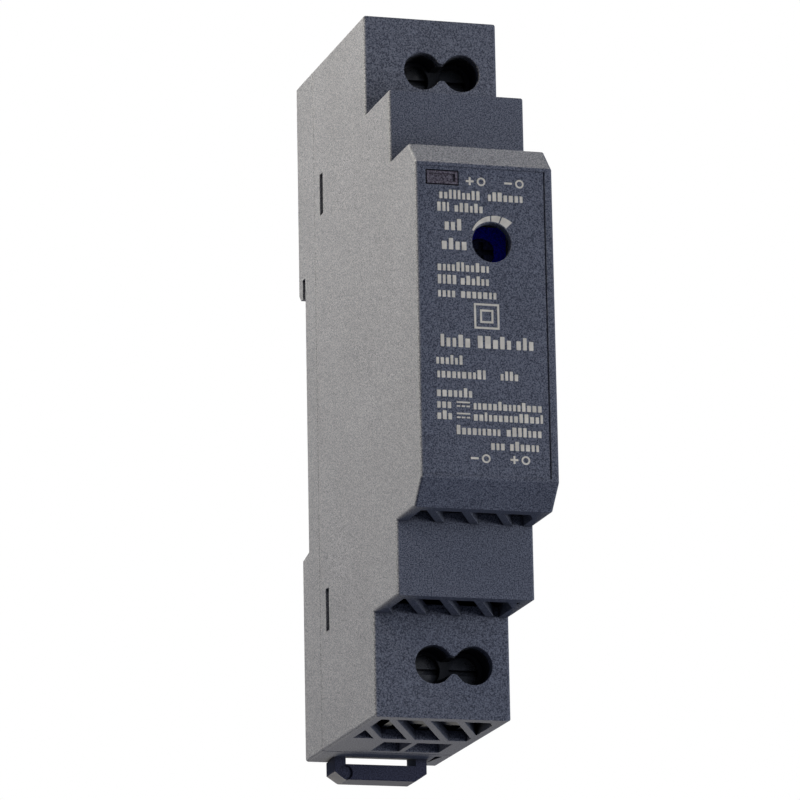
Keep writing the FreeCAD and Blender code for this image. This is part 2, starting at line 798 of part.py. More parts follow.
def make_led_window():
    half_x, half_z = cell.window_width / 2, cell.window_height / 2
    gap, lap = cell.window_gap, cell.window_flange_lap
    inside = front_y + cell.wall
    face = block("window_face", around(cell.window_x, half_x - gap),
                 (front_y + cell.label_recess, inside), around(cell.window_z, half_z - gap))
    flange = block("window_flange", around(cell.window_x, half_x + lap),
                   (inside, inside + cell.pipe_flange), around(cell.window_z, half_z + lap))
    stem = block("window_stem", (board_face_x + cell.pipe_board_gap, cell.window_x + half_x),
                 (inside + cell.pipe_flange, -cell.led_front),
                 around(cell.window_z, half_z - cell.window_stem_inset))
    dish = block("window_dish", around(cell.window_x, half_x - gap - cell.window_rim),
                 (front_y + cell.label_recess, front_y + cell.label_recess + cell.window_dish),
                 around(cell.window_z, half_z - gap - cell.window_rim))
    return keep("led_window", cut("led_window", fuse("window_blank", face, flange, stem), dish))


# ---------------------------------------------------------------- board


def stepped_outline(margin, front):
    """Y and Z corners of a plate that follows the inside of the stepped case up to a front line."""
    wall = cell.wall + margin
    return mirrored([
        (-cell.board_rear, half_height - wall), (terminal_y + wall, half_height - wall),
        (terminal_y + wall, half_middle - wall), (middle_y + wall, half_middle - wall),
        (middle_y + wall, half_nose - wall), (front + cell.nose_bevel, half_nose - wall),
        (front, half_nose - wall - cell.nose_bevel)])


def make_main_board():
    maker = BodyMaker("main_board")
    outline = maker.sketch("YZ_Plane", cell.board_left)
    maker.add_outline(outline, stepped_outline(cell.board_clearance, -cell.board_front))
    maker.pad(outline, cell.board_thickness)
    holes = maker.sketch("YZ_Plane", cell.board_left)
    tail_y = -(cell.bar_front + cell.bar_rear) / 2
    for _, sign in ENDS:
        for tail in (cell.near_tail, cell.far_tail):
            maker.add_circle(holes, tail_y, (tail + cell.tail_width / 2) * sign,
                             cell.tail_hole_radius)
    maker.pocket(holes, cell.board_thickness * 2, reverse=True)
    return keep("main_board", maker.body)


def make_insulation_sheet():
    maker = BodyMaker("insulation_sheet")
    outline = maker.sketch("YZ_Plane", -inner_half_width)
    maker.add_outline(outline, stepped_outline(cell.insulation_inset, -cell.insulation_front))
    maker.pad(outline, cell.insulation_thickness)
    return keep("insulation_sheet", maker.body)


# ---------------------------------------------------------------- terminals

def make_terminal_block(end, sign):
    name = f"{end}_terminal_block"
    outer = (cell.block_inner * sign, cell.block_outer * sign)
    z_span = outer if sign > 0 else outer[::-1]
    axis_z = cell.terminal_z * sign
    body = block(f"{name}_blank", around(cell.terminal_x, cell.block_width / 2),
                 (-cell.block_front, -cell.block_rear), z_span)
    tools = [block(f"{name}_waist", around(cell.terminal_x, cell.terminal_pitch / 4),
                   (-cell.block_front, -cell.screw_lip_front),
                   around(axis_z, cell.access_waist / 2))]
    room = cell.cage_half_width + cell.cage_gap
    length = cell.cage_half_length + cell.cage_gap
    for number, x in enumerate(pole_x, 1):
        tag = f"{name}_{number}"
        tools.append(rod(f"{tag}_well", (x, -cell.block_front, axis_z), cell.screw_well_radius,
                         cell.block_front - cell.screw_lip_front, "y"))
        tools.append(rod(f"{tag}_lip", (x, -cell.screw_lip_front, axis_z), cell.screw_lip_radius,
                         cell.screw_lip_front - cell.screw_head_front, "y"))
        tools.append(rod(f"{tag}_head", (x, -cell.screw_head_front - cell.screw_gap, axis_z),
                         cell.screw_head_radius + cell.cage_gap,
                         cell.screw_head_front - cell.screw_head_rear + cell.screw_gap * 2, "y"))
        tools.append(block(f"{tag}_cavity", around(x, room),
                           (-cell.screw_head_rear, -cell.cage_rear + cell.cage_gap),
                           around(axis_z, length)))
        bar_z = (-cell.bar_outer, -cell.block_inner + 1) if sign < 0 else (
            cell.block_inner - 1, cell.bar_outer)
        tools.append(block(f"{tag}_bar_way", around(x, cell.bar_half_width),
                           (-cell.bar_front, -cell.bar_rear), bar_z))
        entry_z = (axis_z, cell.block_outer + 1) if sign > 0 else (-cell.block_outer - 1, axis_z)
        tools.append(block(f"{tag}_entry", around(x, cell.wire_half_width),
                           (-cell.bar_rear, -cell.cage_rear), entry_z))
    return keep(name, cut(name, body, *tools))


def make_pole(end, sign, number, x):
    """Screw, clamp cage and contact bar of one terminal."""
    tag = f"{end}_{number}"
    axis_z = cell.terminal_z * sign
    head = rod(f"screw_head_{tag}", (x, -cell.screw_head_front, axis_z), cell.screw_head_radius,
               cell.screw_head_front - cell.screw_head_rear, "y")
    shank = rod(f"screw_shank_{tag}", (x, -cell.screw_head_rear, axis_z), cell.screw_radius,
                cell.screw_head_rear - cell.bar_front - cell.screw_gap, "y")
    slot = block(f"screw_slot_{tag}", around(x, cell.screw_head_radius * 1.1),
                 (-cell.screw_head_front - 1, -cell.screw_head_front + cell.screw_slot_depth),
                 around(axis_z, cell.screw_slot_width / 2))
    name = f"terminal_screw_{tag}"
    keep(name, cut(name, fuse(f"screw_blank_{tag}", head, shank), slot))

    shell = block(f"cage_shell_{tag}", around(x, cell.cage_half_width),
                  (-cell.cage_front, -cell.cage_rear), around(axis_z, cell.cage_half_length))
    opening = block(f"cage_opening_{tag}", around(x, cell.cage_half_width - cell.cage_side_wall),
                    (-cell.cage_front + cell.cage_top_wall, -cell.cage_rear - cell.cage_foot_wall),
                    around(axis_z, cell.cage_half_length * 1.1))
    thread = rod(f"cage_thread_{tag}", (x, -cell.cage_front - 1, axis_z),
                 cell.screw_radius + cell.screw_gap, cell.cage_top_wall + 1.5, "y")
    name = f"clamp_cage_{tag}"
    keep(name, cut(name, shell, opening, thread))

    tail = cell.near_tail if number == 1 else cell.far_tail
    bar_z = (tail * sign, cell.bar_outer * sign)
    tail_z = (tail * sign, (tail + cell.tail_width) * sign)
    bar_y = (-cell.bar_front, -cell.bar_rear)
    bar = block(f"bar_run_{tag}", around(x, cell.bar_half_width), bar_y,
                bar_z if sign > 0 else bar_z[::-1])
    leg = block(f"bar_tail_{tag}", (-cell.tail_reach, x), bar_y, tail_z if sign > 0 else tail_z[::-1])
    name = f"contact_bar_{tag}"
    keep(name, fuse(name, bar, leg))


# ---------------------------------------------------------------- adjuster and light

def make_trimmer():
    x, z = cell.adjuster_x, cell.adjuster_z
    half = cell.trimmer_size / 2
    front = -cell.trimmer_front
    rear = front + cell.trimmer_depth
    body = block("trimmer_blank", around(x, half), (front, rear), around(z, half))
    well = rod("trimmer_well", (x, front - 1, z), cell.rotor_radius + cell.rotor_gap,
               cell.rotor_sunk + 1, "y")
    keep("trimmer_body", cut("trimmer_body", body, well))
    pins = []
    for number, offset in enumerate((-1, 0, 1), 1):
        pin_y = (front + rear) / 2 + cell.pin_size * offset
        pins.append(block(f"trimmer_pin_{number}", (board_face_x, x - half),
                          around(pin_y, cell.pin_size / 2),
                          around(z + cell.pin_spread * offset, cell.pin_size / 2)))
    keep("trimmer_pins", group("trimmer_pins", pins))

    disc = rod("rotor_disc", (x, front - cell.rotor_proud, z), cell.rotor_radius,
               cell.rotor_proud + cell.rotor_sunk - cell.rotor_foot_gap, "y")
    slot_y = (front - cell.rotor_proud - 1, front + cell.rotor_slot_floor)
    slot = block("rotor_slot", around(x, cell.rotor_radius + 1), slot_y,
                 around(z, cell.rotor_slot / 2))
    cross = block("rotor_cross_slot", around(x, cell.rotor_slot / 2), slot_y,
                  around(z, cell.rotor_cross_reach))
    keep("trimmer_rotor", cut("trimmer_rotor", disc, slot, cross))


def make_power_led():
    half_z = cell.window_height / 2 - cell.window_stem_inset
    body = block("led_body", (board_face_x, board_face_x + cell.led_rise),
                 (-cell.led_front, -cell.led_front + cell.led_depth), around(cell.window_z, half_z))
    keep("power_led", body)


# ---------------------------------------------------------------- parts on the board

def chip_spans(name):
    centre_y, centre_z = part_size(name, "y"), part_size(name, "z")
    return (around(centre_y, part_size(name, "span_y") / 2),
            around(centre_z, part_size(name, "span_z") / 2), part_size(name, "rise"))


def make_leaded_chip(name, leads):
    """A moulded package with a row of leads along each long side."""
    span_y, span_z, rise = chip_spans(name)
    lift = rise * cell.chip_lift_share
    body = block(f"{name}_case", (board_face_x + lift, board_face_x + rise), span_y, span_z)
    items = [body]
    pitch = (span_z[1] - span_z[0]) / leads
    for number in range(leads):
        lead_z = around(span_z[0] + pitch * (number + 0.5), pitch * cell.lead_width_share)
        reach = rise * cell.lead_reach_share
        items.append(block(f"{name}_lead_{number}",
                           (board_face_x, board_face_x + rise * cell.lead_height_share),
                           (span_y[0] - reach, span_y[1] + reach), lead_z))
    keep(name, fuse(name, *items))


def make_power_package(name):
    """A moulded body with a metal tab on one side and two legs on the other."""
    span_y, span_z, rise = chip_spans(name)
    centre_z = part_size(name, "z")
    tab_top = board_face_x + rise * cell.tab_height_share
    body = block(f"{name}_case", (tab_top, board_face_x + rise), span_y, span_z)
    tab = block(f"{name}_tab", (board_face_x, tab_top),
                (span_y[0] + cell.tab_inset, span_y[1] + cell.tab_reach),
                around(centre_z, cell.tab_half_width))
    leg_y = (span_y[0] - cell.power_leg_reach, span_y[0] + cell.power_leg_overlap)
    legs = [block(f"{name}_leg_{number}",
                  (board_face_x, board_face_x + rise * cell.power_leg_height_share), leg_y,
                  around(centre_z + cell.power_leg_pitch / 2 * side, cell.power_leg_half_width))
            for number, side in enumerate((-1, 1))]
    keep(name, fuse(name, body, tab, *legs))


def make_end_cap_part(name, cap_share):
    """A block with a metal cap at each end."""
    span_y, span_z, rise = chip_spans(name)
    inset = rise * cell.cap_proud_share
    body = block(f"{name}_body", (board_face_x + inset, board_face_x + rise - inset),
                 (span_y[0] + cell.cap_proud, span_y[1] - cell.cap_proud), span_z)
    cap = (span_z[1] - span_z[0]) * cap_share
    caps = [block(f"{name}_cap_{number}", (board_face_x, board_face_x + rise), span_y, limits)
            for number, limits in enumerate(((span_z[0], span_z[0] + cap),
                                             (span_z[1] - cap, span_z[1])))]
    keep(name, fuse(name, body, *caps))


def make_capacitor(name):
    y, z = part_size(name, "y"), part_size(name, "z")
    outer, rise = part_size(name, "radius"), part_size(name, "rise")
    base = board_face_x + cell.can_foot
    can_radius = outer - cell.can_wall - cell.can_gap
    can = rod(f"{name}_drum", (base, y, z), can_radius, rise - cell.can_foot, "x")
    foot = rod(f"{name}_bung", (board_face_x, y, z), can_radius * cell.bung_share,
               cell.can_foot, "x")
    keep(f"{name}_can", fuse(f"{name}_can", can, foot))
    tube = rod(f"{name}_tube", (base, y, z), outer, rise - cell.can_foot, "x")
    bore = rod(f"{name}_bore", (base - 1, y, z), outer - cell.can_wall, rise + 2, "x")
    keep(f"{name}_sleeve", cut(f"{name}_sleeve", tube, bore))


def make_choke(name):
    y, z = part_size(name, "y"), part_size(name, "z")
    radius, rise = part_size(name, "radius"), part_size(name, "rise")
    flange = cell.choke_flange
    post_radius = radius * cell.choke_core_share
    lower = rod(f"{name}_lower_flange", (board_face_x, y, z), radius, flange, "x")
    upper = rod(f"{name}_upper_flange", (board_face_x + rise - flange, y, z), radius, flange, "x")
    post = rod(f"{name}_post", (board_face_x, y, z), post_radius, rise, "x")
    keep(f"{name}_core", fuse(f"{name}_core", lower, upper, post))
    coil = rod(f"{name}_coil", (board_face_x + flange, y, z), radius * cell.choke_winding_share,
               rise - flange * 2, "x")
    bore = rod(f"{name}_coil_bore", (board_face_x, y, z), post_radius, rise, "x")
    keep(f"{name}_winding", cut(f"{name}_winding", coil, bore))


def make_disc_capacitor(name):
    y, z = part_size(name, "y"), part_size(name, "z")
    radius, half = part_size(name, "radius"), part_size(name, "half_thickness")
    disc = doc.addObject("Part::Ellipsoid", f"{name}_disc")
    for prop, size in (("Radius1", half), ("Radius2", radius), ("Radius3", radius)):
        bind(disc, prop, size)
    centre_rise = radius + cell.disc_lift
    place(disc, (board_face_x + centre_rise, y, z))
    legs = [rod(f"{name}_leg_{number}", (board_face_x, y + radius * cell.disc_leg_share * side, z),
                cell.leg_radius, centre_rise, "x") for number, side in enumerate((-1, 1))]
    keep(name, fuse(name, disc, *legs))


def make_chip_group(name, long_side, wide_side, tall, spots):
    items = []
    for number, (y, z) in enumerate(spots):
        items.append(block(f"{name}_{number}", (board_face_x, board_face_x + tall),
                           around(y, wide_side / 2), around(z, long_side / 2)))
    keep(name, group(name, items))


# ---------------------------------------------------------------- transformer

def make_transformer():
    centre_y, centre_z, centre_x = cell.transformer_y, cell.transformer_z, cell.core_x
    half_span, half_length = cell.core_span / 2, cell.core_length / 2
    core_x = around(centre_x, cell.core_height / 2)
    inside = cell.bobbin_gap
    for name, sign in (("upper", 1), ("lower", -1)):
        def reach(near, far):
            """Z limits between two distances from the joint face, on this half's side."""
            limits = (centre_z + near * sign, centre_z + far * sign)
            return limits if sign > 0 else limits[::-1]
        back = block(f"core_back_{name}", core_x, around(centre_y, half_span),
                     reach(half_length - cell.core_back, half_length))
        legs = [block(f"core_centre_{name}", core_x, around(centre_y, cell.core_centre_leg / 2),
                      reach(0.0, half_length))]
        for number, side in enumerate((-1, 1)):
            leg_y = around(centre_y + (half_span - cell.core_leg / 2) * side, cell.core_leg / 2)
            legs.append(block(f"core_leg_{name}_{number}", core_x, leg_y,
                              reach(0.0, half_length)))
        keep(f"transformer_core_{name}", fuse(f"transformer_core_{name}", back, *legs))

    tube_y = cell.core_centre_leg / 2 + inside
    tube_x = cell.core_height / 2 + inside
    outer_y, outer_x = tube_y + cell.bobbin_wall, tube_x + cell.bobbin_wall
    length = cell.bobbin_half_length
    tube = block("bobbin_tube", around(centre_x, outer_x), around(centre_y, outer_y),
                 around(centre_z, length))
    flanges = []
    feet = []
    for number, sign in enumerate((1, -1)):
        low = length - cell.flange_thickness
        limits = (centre_z + low * sign, centre_z + length * sign)
        limits = limits if sign > 0 else limits[::-1]
        flanges.append(block(f"bobbin_flange_{number}", around(centre_x, cell.flange_half_size),
                             around(centre_y, cell.flange_half_size), limits))
        foot_z = (centre_z + low * sign, centre_z + (half_length + cell.bobbin_foot_reach) * sign)
        foot_z = foot_z if sign > 0 else foot_z[::-1]
        feet.append(block(f"bobbin_foot_{number}", (board_face_x, core_x[0] - inside),
                          around(centre_y, cell.flange_half_size), foot_z))
    bore = block("bobbin_bore", around(centre_x, tube_x), around(centre_y, tube_y),
                 around(centre_z, length * 2))
    keep("transformer_bobbin", cut("transformer_bobbin", fuse("bobbin_blank", tube, *flanges, *feet),
                                   bore))
    winding_z = around(centre_z, length - cell.flange_thickness)
    inner = (outer_x, outer_y)
    for name, build in (("primary", cell.primary_build), ("secondary", cell.secondary_build)):
        outer = (inner[0] + build, inner[1] + build)
        coil = block(f"{name}_coil", around(centre_x, outer[0]), around(centre_y, outer[1]), winding_z)
        hole = block(f"{name}_hole", around(centre_x, inner[0]), around(centre_y, inner[1]),
                     around(centre_z, length * 2))
        keep(f"transformer_{name}", cut(f"transformer_{name}", coil, hole))
        inner = outer
    band_x = around(centre_x, cell.tape_half_width)
    band = block("tape_band", band_x, around(centre_y, half_span + cell.tape_thickness),
                 around(centre_z, half_length + cell.tape_thickness))
    band_hole = block("tape_hole", around(centre_x, cell.tape_half_width * 2),
                      around(centre_y, half_span), around(centre_z, half_length))
    keep("transformer_tape", cut("transformer_tape", band, band_hole))


# ---------------------------------------------------------------- assembly

make_front_housing()
make_rear_cover()
make_din_clip()
make_led_window()
make_main_board()
make_insulation_sheet()
for end_name, end_sign in ENDS:
    make_terminal_block(end_name, end_sign)
    for pole_number, pole_place in enumerate(pole_x, 1):
        make_pole(end_name, end_sign, pole_number, pole_place)
make_trimmer()
make_power_led()
make_leaded_chip("controller_chip", 4)
make_leaded_chip("optocoupler", 2)
make_leaded_chip("reference_chip", 2)
make_power_package("switching_transistor")
make_power_package("output_rectifier")
make_end_cap_part("surge_suppressor", 0.12)
make_end_cap_part("input_fuse", 0.18)
make_end_cap_part("sense_resistor", 0.16)
for part_name in CAPACITORS:
    make_capacitor(part_name)
for part_name in CHOKES:
    make_choke(part_name)
for part_name in DISCS:
    make_disc_capacitor(part_name)
RESISTOR_SPOTS = [(-47.0 + 2.2 * column, z) for column in range(2) for z in (-8.0, 2.5, 5.0)]
CERAMIC_SPOTS = [(-36.3, -22.1), (-12.8, -16.0), (-34.6, 22.5), (-34.6, 27.0)]
make_chip_group("chip_resistors", cell.resistor_long, cell.resistor_wide, cell.resistor_tall,
                RESISTOR_SPOTS)
make_chip_group("chip_capacitors", cell.ceramic_long, cell.ceramic_wide, cell.ceramic_tall,
                CERAMIC_SPOTS)
make_transformer()
doc.recompute()

for item in doc.Objects:
    if "Invalid" in item.State or "Error" in item.State:
        raise RuntimeError(f"{item.Name} failed: {item.State}")
for name, item in sub_parts.items():
    if item.Shape.isNull() or not item.Shape.isValid():
        raise RuntimeError(f"{name} has no valid shape")

os.makedirs("parts", exist_ok=True)
for name, item in sub_parts.items():
    item.Shape.exportStep(f"parts/{name}.step")
print(len(sub_parts), "sub-parts written")
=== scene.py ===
import json
import math
import random

import bmesh
import bpy
from mathutils import Matrix, Vector


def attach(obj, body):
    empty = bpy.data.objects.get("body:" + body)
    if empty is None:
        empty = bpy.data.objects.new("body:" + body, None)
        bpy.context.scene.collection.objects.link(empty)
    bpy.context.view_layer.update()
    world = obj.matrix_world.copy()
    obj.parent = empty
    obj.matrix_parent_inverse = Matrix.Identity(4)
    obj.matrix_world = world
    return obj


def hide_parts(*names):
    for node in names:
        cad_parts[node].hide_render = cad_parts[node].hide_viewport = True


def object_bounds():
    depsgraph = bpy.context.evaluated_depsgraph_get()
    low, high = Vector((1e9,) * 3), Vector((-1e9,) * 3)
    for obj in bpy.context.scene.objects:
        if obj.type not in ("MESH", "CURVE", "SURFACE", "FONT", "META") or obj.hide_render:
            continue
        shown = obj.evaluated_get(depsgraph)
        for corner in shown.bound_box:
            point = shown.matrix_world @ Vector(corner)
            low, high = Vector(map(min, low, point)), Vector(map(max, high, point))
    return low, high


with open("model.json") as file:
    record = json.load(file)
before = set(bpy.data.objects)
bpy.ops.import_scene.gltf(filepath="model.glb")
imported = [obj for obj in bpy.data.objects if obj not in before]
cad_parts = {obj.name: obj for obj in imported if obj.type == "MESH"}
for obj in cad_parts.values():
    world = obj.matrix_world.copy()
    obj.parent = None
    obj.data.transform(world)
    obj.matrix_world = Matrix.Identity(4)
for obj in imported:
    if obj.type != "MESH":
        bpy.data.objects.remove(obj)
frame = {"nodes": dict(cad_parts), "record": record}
cad_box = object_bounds()

MM = 0.001
NODES = frame["nodes"]
SLOT_OF = {part["node"]: part["material_slot"] for part in frame["record"]["subparts"]}
random.seed(7)


# ---------------------------------------------------------------- building a material

BLACK = (0.0, 0.0, 0.0, 1.0)
WHITE = (1.0, 1.0, 1.0, 1.0)
DEEP_SHADOW = (0.001, 0.001, 0.0015, 1.0)
SHADOW_REACH = 6.0 * MM
BEVEL_SAMPLES = 6
OCCLUSION_SAMPLES = 8
# How far the rounded normal leans from the face: nothing shows below the first, all above the second.
EDGE_LEAN = (0.02, 0.25)


class Finish:
    """Builds one procedural material around a Principled shader."""

    def __init__(self, name, **settings):
        self.material = bpy.data.materials.new(name)
        self.material.use_nodes = True
        self.tree = self.material.node_tree
        self.shader = self.tree.nodes["Principled BSDF"]
        for socket, value in settings.items():
            self.shader.inputs[socket.replace("_", " ")].default_value = value
        self.place = self.add("ShaderNodeTexCoord").outputs["Object"]
        self.normal = None

    def add(self, kind, inputs=None, **settings):
        node = self.tree.nodes.new(kind)
        for key, value in settings.items():
            setattr(node, key, value)
        for key, value in (inputs or {}).items():
            self.feed(node.inputs[key], value)
        return node

    def feed(self, socket, value):
        if isinstance(value, bpy.types.NodeSocket):
            self.tree.links.new(value, socket)
        else:
            socket.default_value = value

    def stretched(self, scale):
        """Object coordinates, in metres, scaled along each axis."""
        return self.add("ShaderNodeMapping", {"Vector": self.place, "Scale": scale}).outputs[0]

    def noise(self, scale, detail, roughness=0.5, where=None):
        node = self.add("ShaderNodeTexNoise", {
            "Vector": where or self.place, "Scale": scale, "Detail": detail,
            "Roughness": roughness})
        return node.outputs["Fac"]

    def cells(self, scale, where=None, feature="F1"):
        node = self.add("ShaderNodeTexVoronoi", {"Vector": where or self.place, "Scale": scale},
                        feature=feature)
        return node.outputs["Distance"]

    def ramp(self, value, low, high, start=0.0, end=1.0):
        """Value mapped from low...high to start...end."""
        return self.add("ShaderNodeMapRange", {
            "Value": value, "From Min": low, "From Max": high, "To Min": start,
            "To Max": end}).outputs[0]

    def combine(self, operation, first, second):
        return self.add("ShaderNodeMath", {0: first, 1: second}, operation=operation).outputs[0]

    def plus(self, first, second):
        return self.combine("ADD", first, second)

    def times(self, first, second):
        return self.combine("MULTIPLY", first, second)

    def mix(self, factor, first, second):
        node = self.add("ShaderNodeMix", data_type="RGBA")
        for socket, value in zip((node.inputs[0], node.inputs[6], node.inputs[7]),
                                 (factor, first, second)):
            self.feed(socket, value)
        return node.outputs[2]

    def rounded(self, radius):
        """The surface normal, as if every edge had this radius."""
        return self.add("ShaderNodeBevel", {"Radius": radius}, samples=BEVEL_SAMPLES).outputs[0]

    def edges(self, radius):
        """1 on convex edges and in corners within a radius, 0 on flat faces."""
        flat = self.add("ShaderNodeNewGeometry").outputs["Normal"]
        turn = self.add("ShaderNodeVectorMath", {0: self.rounded(radius), 1: flat},
                        operation="DOT_PRODUCT").outputs["Value"]
        return self.ramp(self.combine("SUBTRACT", 1.0, turn), *EDGE_LEAN)

    def crevices(self, distance, low, high):
        """A mask for painted shade, from ambient occlusion: 1 in narrow gaps and inner corners, 0 on
        open faces.
        """
        node = self.add("ShaderNodeAmbientOcclusion", {"Distance": distance},
                        samples=OCCLUSION_SAMPLES)
        return self.ramp(node.outputs["AO"], low, high, 1.0, 0.0)

    def shaded(self, colour, low, high, amount):
        """Colour that fades to near black deep inside holes and behind openings."""
        deep = self.times(self.crevices(SHADOW_REACH, low, high), amount)
        return self.mix(deep, colour, DEEP_SHADOW)

    def bump(self, height, strength, distance, soften=0.0):
        inputs = {"Height": height, "Strength": strength, "Distance": distance}
        if soften:
            inputs["Normal"] = self.rounded(soften)
        self.normal = self.add("ShaderNodeBump", inputs).outputs[0]

    def finish(self, colour, roughness):
        self.feed(self.shader.inputs["Base Color"], colour)
        self.feed(self.shader.inputs["Roughness"], roughness)
        if self.normal:
            self.feed(self.shader.inputs["Normal"], self.normal)
        return self.material


def tint(colour, factor):
    return tuple(channel * factor for channel in colour[:3]) + (1.0,)


# ---------------------------------------------------------------- kinds of finish

# Stretches of a noise texture's values that a ramp spreads over its whole output.
MIDDLE = (0.35, 0.65)
UPPER = (0.35, 0.7)
WIDE = (0.3, 0.7)
SPARK_SCALE = 6200.0
SPARK_SHADE = 0.56
TARNISH = 0.35
# Noise scale along each axis: drawing lines are ten times finer along the named one.
FINE_ALONG_X = (9000.0, 900.0, 900.0)
FINE_ALONG_Y = (900.0, 9000.0, 900.0)
ENAMEL = {"Metallic": 0.75, "Coat_Weight": 0.6, "Coat_Roughness": 0.15}


def moulded(name, colour, roughness=0.68, grain_depth=0.02, mottle=0.05, wear=0.03, dirt=0.75,
            open_above=0.56, fleck=0.11):
    """Moulded plastic with a fine spark texture, paler edges that are partly wear and partly a
    painted highlight, and painted shade in crevices and holes.
    """
    make = Finish(name, IOR=1.5, Specular_IOR_Level=0.3)
    coarse = make.noise(95.0, 3.0)
    fine = make.noise(SPARK_SCALE, 2.0, 0.65)
    body = make.mix(make.ramp(coarse, *MIDDLE), tint(colour, 1 - mottle), tint(colour, 1 + mottle))
    body = make.mix(make.ramp(fine, 0.38, 0.62), make.mix(SPARK_SHADE, body, BLACK),
                    make.mix(fleck, body, WHITE))
    # Paler edges: worn plastic, and at high settings, as on the window, a painted highlight on the
    # rim.
    edge_scuffs_and_highlights = make.times(make.edges(0.18 * MM), make.ramp(make.noise(700.0, 3.0), *UPPER))
    body = make.mix(make.times(edge_scuffs_and_highlights, wear), body, tint(colour, 2.2))
    # Painted shade: colour darkens in inner corners and narrow gaps, found by ambient occlusion.
    crevice_shade = make.times(make.crevices(1.0 * MM, 0.3, 0.9), dirt)
    body = make.mix(crevice_shade, body, tint(colour, 0.2))
    # Painted shade: near black deep inside holes and behind openings.
    body = make.shaded(body, 0.08, open_above, 0.9)
    pits = make.cells(SPARK_SCALE * 0.8)
    make.bump(make.plus(fine, pits), 0.5, grain_depth * MM, 0.1 * MM)
    rough = make.plus(make.ramp(fine, *WIDE, -0.08, 0.08),
                      make.ramp(coarse, *WIDE, roughness - 0.04, roughness + 0.05))
    return make.finish(body, rough)


def metal(name, colour, roughness, scratch=FINE_ALONG_Y):
    """Plated or drawn metal with fine drawing lines and dull patches."""
    make = Finish(name, Metallic=1.0)
    lines = make.noise(1.0, 3.0, 0.6, make.stretched(scratch))
    patches = make.noise(420.0, 4.0, 0.6)
    body = make.mix(make.ramp(patches, 0.42, 0.72, 0.0, TARNISH), colour, tint(colour, 0.45))
    body = make.mix(make.times(make.edges(0.12 * MM), 0.5), body, tint(colour, 1.25))
    body = make.shaded(body, 0.15, 0.75, 0.97)
    make.bump(lines, 0.25, 0.006 * MM, 0.05 * MM)
    rough = make.plus(make.ramp(lines, *WIDE, -0.06, 0.08),
                      make.ramp(patches, *UPPER, roughness, roughness + 0.18))
    return make.finish(body, rough)


def wound_wire(name, colour):
    """Enamelled wire laid side by side along the Z axis, with painted shade between turns."""
    make = Finish(name, **ENAMEL)
    turns = make.add("ShaderNodeTexWave", {
        "Vector": make.place, "Scale": 640.0, "Distortion": 0.4, "Detail": 2.0,
        "Detail Scale": 60.0}, bands_direction="Z").outputs["Fac"]
    patches = make.noise(300.0, 3.0)
    # Painted shade: the wire darkens to a quarter of its colour between the drawn turns.
    body = make.mix(make.ramp(turns, 0.0, 0.5), tint(colour, 0.25), colour)
    body = make.mix(make.ramp(patches, 0.4, 0.7, 0.0, 0.4), body, tint(colour, 0.6))
    make.bump(turns, 0.9, 0.12 * MM)
    return make.finish(body, make.ramp(patches, *WIDE, 0.25, 0.42))


def enamelled(name, colour):
    """Enamelled copper wire, with painted shade where turns meet."""
    make = Finish(name, **ENAMEL)
    patches = make.noise(300.0, 3.0)
    body = make.mix(make.ramp(patches, 0.4, 0.7, 0.0, 0.5), colour, tint(colour, 0.6))
    # Painted shade: the wire darkens where turns meet, found by ambient occlusion.
    gaps = make.times(make.crevices(0.5 * MM, 0.3, 0.9), 0.7)
    body = make.mix(gaps, body, tint(colour, 0.15))
    make.bump(make.noise(2600.0, 2.0), 0.2, 0.004 * MM)
    return make.finish(body, make.ramp(patches, *WIDE, 0.25, 0.42))


def laminate(name, colour):
    """Green solder mask over woven glass, with faint copper areas under it."""
    make = Finish(name, Coat_Weight=0.5, Coat_Roughness=0.2)
    weave = make.add("ShaderNodeTexBrick", {
        "Vector": make.place, "Scale": 900.0, "Mortar Size": 0.08, "Color1": WHITE,
        "Color2": (0.7, 0.7, 0.7, 1.0), "Mortar": (0.2, 0.2, 0.2, 1.0)}).outputs["Fac"]
    pours = make.cells(130.0, make.stretched((0.2, 1.0, 1.6)), "SMOOTH_F1")
    clouds = make.ramp(make.noise(500.0, 3.0), *MIDDLE, 0.0, 0.25)
    body = make.mix(make.ramp(pours, 0.28, 0.34), tint(colour, 1.5), colour)
    body = make.mix(make.times(weave, 0.25), body, tint(colour, 0.6))
    body = make.mix(clouds, body, tint(colour, 0.7))
    make.bump(make.plus(pours, weave), 0.25, 0.02 * MM)
    return make.finish(body, make.ramp(pours, 0.2, 0.5, 0.32, 0.5))


def ceramic(name, colour, roughness=0.5, speck=2600.0, mottle=0.25, **settings):
    """Sintered or dipped material: speckled, slightly uneven, with a darker skin in places."""
    make = Finish(name, **settings)
    grains = make.noise(speck, 3.0, 0.7)
    clouds = make.noise(260.0, 3.0)
    body = make.mix(make.ramp(grains, *MIDDLE), tint(colour, 1 - mottle), tint(colour, 1 + mottle))
    body = make.mix(make.ramp(clouds, 0.4, 0.7, 0.0, 0.5), body, tint(colour, 0.75))
    body = make.mix(make.times(make.edges(0.15 * MM), 0.4), body, tint(colour, 1.6))
    make.bump(grains, 0.5, 0.02 * MM, 0.06 * MM)
    return make.finish(body, make.ramp(grains, *WIDE, roughness - 0.08, roughness + 0.1))


def film(name, colour, roughness, stripes=(40.0, 40.0, 1200.0), **settings):
    """Thin drawn film or tape with faint stretch lines and wrinkles."""
    make = Finish(name, **settings)
    lines = make.noise(1.0, 2.0, 0.5, make.stretched(stripes))
    creases = make.noise(380.0, 4.0, 0.6)
    body = make.mix(make.ramp(lines, *WIDE), tint(colour, 0.85), tint(colour, 1.12))
    body = make.mix(make.ramp(creases, 0.5, 0.75, 0.0, 0.4), body, tint(colour, 0.7))
    make.bump(make.plus(creases, lines), 0.35, 0.03 * MM, 0.05 * MM)
    return make.finish(body, make.ramp(creases, *WIDE, roughness - 0.06, roughness + 0.12))


# ---------------------------------------------------------------- material of each slot

